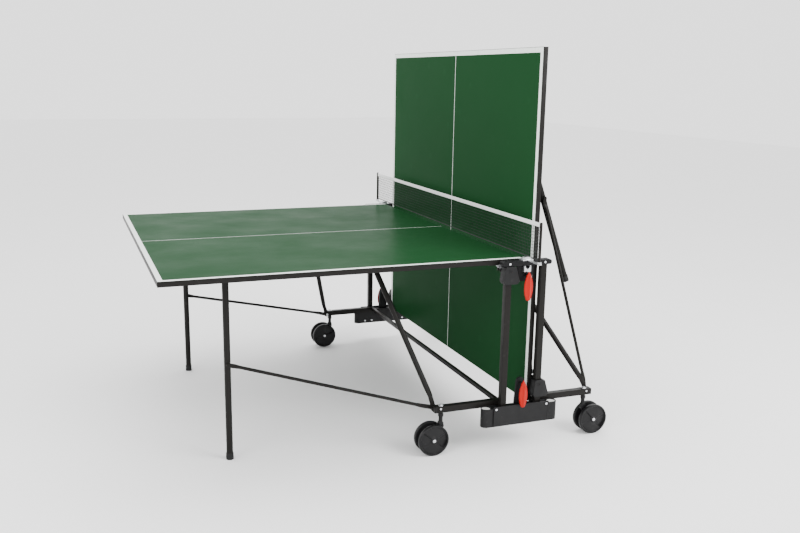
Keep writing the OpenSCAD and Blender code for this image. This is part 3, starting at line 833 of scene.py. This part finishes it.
def make_net():
    """Yarns knotted at 12.5 mm, each passing in front of one neighbour and behind the next."""
    lo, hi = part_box("net_mesh")
    pitch = 12.5 * MM
    ny = int(round((hi.y - lo.y) / pitch))
    nz = int(round((hi.z - lo.z) / pitch))
    py, pz = (hi.y - lo.y) / ny, (hi.z - lo.z) / nz
    r = 0.72 * MM
    parts = []

    def off(i, j):
        return 0.45 * MM if (i + j) % 2 else -0.45 * MM

    def slip(most, j):
        """A small random shift of a knot; the top and bottom rows stay in place."""
        return rnd.uniform(-most, most) * MM * (0 < j < nz)

    for i in range(ny + 1):
        y = min(max(lo.y + i * py, lo.y + r), hi.y - r)
        parts.append(tube_along([(MID + off(i, j), y + slip(0.5, j), lo.z + j * pz)
                                 for j in range(nz + 1)], r))
    for j in range(nz + 1):
        z = min(max(lo.z + j * pz, lo.z + r), hi.z - r)
        parts.append(tube_along([(MID - off(i, j), lo.y + i * py, z + slip(0.35, j))
                                 for i in range(ny + 1)], r))
    o = add("net_yarns", merge(parts), NET, "base", 60)
    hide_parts("net_mesh")


FOLD_H = 2.2 * MM  # height of the tape's round fold
NARROW, WIDE = 0.95, 1.7  # half width over the yarns of the tape, in mm, at its feet and at the fold


def tape_middle(top, foot):
    """The band's middle line in (x, z), from one foot up over the fold and down to the other."""
    rise = top - foot - FOLD_H
    spread = WIDE - NARROW
    line = []
    for k in range(8):
        line.append((-NARROW - spread * (k / 7) ** 2, foot + rise * k / 7))
    for k in range(1, 8):
        a = math.pi * (1 - k / 8)
        line.append((WIDE * math.cos(a), top - FOLD_H + 2.0 * MM * math.sin(a)))
    for k in range(8):
        line.append((WIDE - spread * (1 - (1 - k / 7) ** 2), foot + rise * (1 - k / 7)))
    return [Vector((x * MM, 0, z)) for x, z in line]


def tape_section(pts, thick):
    """The closed outline of a band of even thickness round its middle line."""
    outer, inner = [], []
    for i, p in enumerate(pts):
        d = (pts[min(i + 1, len(pts) - 1)] - pts[max(i - 1, 0)]).normalized()
        across = Vector((-d.z, 0, d.x))
        outer.append(p + across * thick / 2)
        inner.append(p - across * thick / 2)
    return outer + inner[::-1]


def tape_stitches(lo, hi, top, foot):
    """Two rows of stitches on each side of the tape."""
    stitches = []
    for s in SIDES:
        for share in (0.14, 0.26):
            z = foot + (top - foot) * share
            x = s * (NARROW + (WIDE - NARROW) * (share / 0.85) ** 2 + 0.28) * MM
            under = MID + x - s * 0.25 * MM
            for k in range(290):
                y = lo.y + 4 * MM + k * 6.0 * MM
                if y + 3.4 * MM > hi.y:
                    break
                stitch = [(under, y, z), (MID + x, y + 0.8 * MM, z),
                          (MID + x, y + 2.6 * MM, z), (under, y + 3.4 * MM, z)]
                stitches.append(tube_along(stitch, 0.22 * MM, 4))
    return add("tape_stitches", merge(stitches), TAPE, "base", 60)


def make_tape():
    """White band folded over the top of the net, slightly wavy, with two rows of stitches a side."""
    lo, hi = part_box("net_tape")
    top, foot = hi.z - 0.1 * MM, lo.z + 0.1 * MM
    section = tape_section(tape_middle(top, foot), 0.45 * MM)
    rings = []
    steps = 220
    for i in range(steps + 1):
        y = lo.y + (hi.y - lo.y) * i / steps
        wob = 0.10 * MM * math.sin(i * 0.9) + 0.08 * MM * math.sin(i * 2.3)
        rings.append([Vector((MID + q.x + wob * (hi.z - q.z) / (hi.z - lo.z), y, q.z)) for q in section])
    o = add("tape_band", loft(rings), TAPE, "base", 50)
    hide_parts("net_tape")
    st = tape_stitches(lo, hi, top, foot)


make_cord()
make_net()
make_tape()


# ---------- floor and light ----------
def floor():
    me = bpy.data.meshes.new("floor")
    me.from_pydata([(-14, -10, 0), (14, -10, 0), (14, 26, 0), (-14, 26, 0)], [], [(0, 1, 2, 3)])
    o = bpy.data.objects.new("floor", me)
    bpy.context.collection.objects.link(o)
    n = Nodes("floor_white")
    col = n.mix(n.noise(2, 3), (0.90, 0.90, 0.90), (0.92, 0.92, 0.92))
    me.materials.append(n.out(col, n.range(n.noise(3, 3), 0.6, 0.7)))


def sky():
    """Even white light from all round."""
    world = bpy.data.worlds.new("studio")
    world.use_nodes = True
    bg = world.node_tree.nodes["Background"]
    bg.inputs["Color"].default_value = (1, 1, 1, 1)
    bg.inputs["Strength"].default_value = 2.1
    bpy.context.scene.world = world


def area_light(name, loc, target, size, power):
    data = bpy.data.lights.new(name, "AREA")
    data.shape = "RECTANGLE"
    data.size, data.size_y = size
    data.energy = power
    lamp = bpy.data.objects.new(name, data)
    bpy.context.collection.objects.link(lamp)
    lamp.location = loc
    lamp.rotation_euler = (Vector(target) - Vector(loc)).to_track_quat("-Z", "Y").to_euler()


floor()
sky()
area_light("key", (2.9, -3.8, 3.2), (0.2, 0, 0.6), (2.4, 1.8), 210)
area_light("fill", (-3.6, -2.8, 2.6), (0.0, 0, 0.6), (2.4, 2.0), 90)
area_light("top", (0.0, 0.6, 4.6), (0.0, 0, 0.5), (4.0, 3.0), 110)
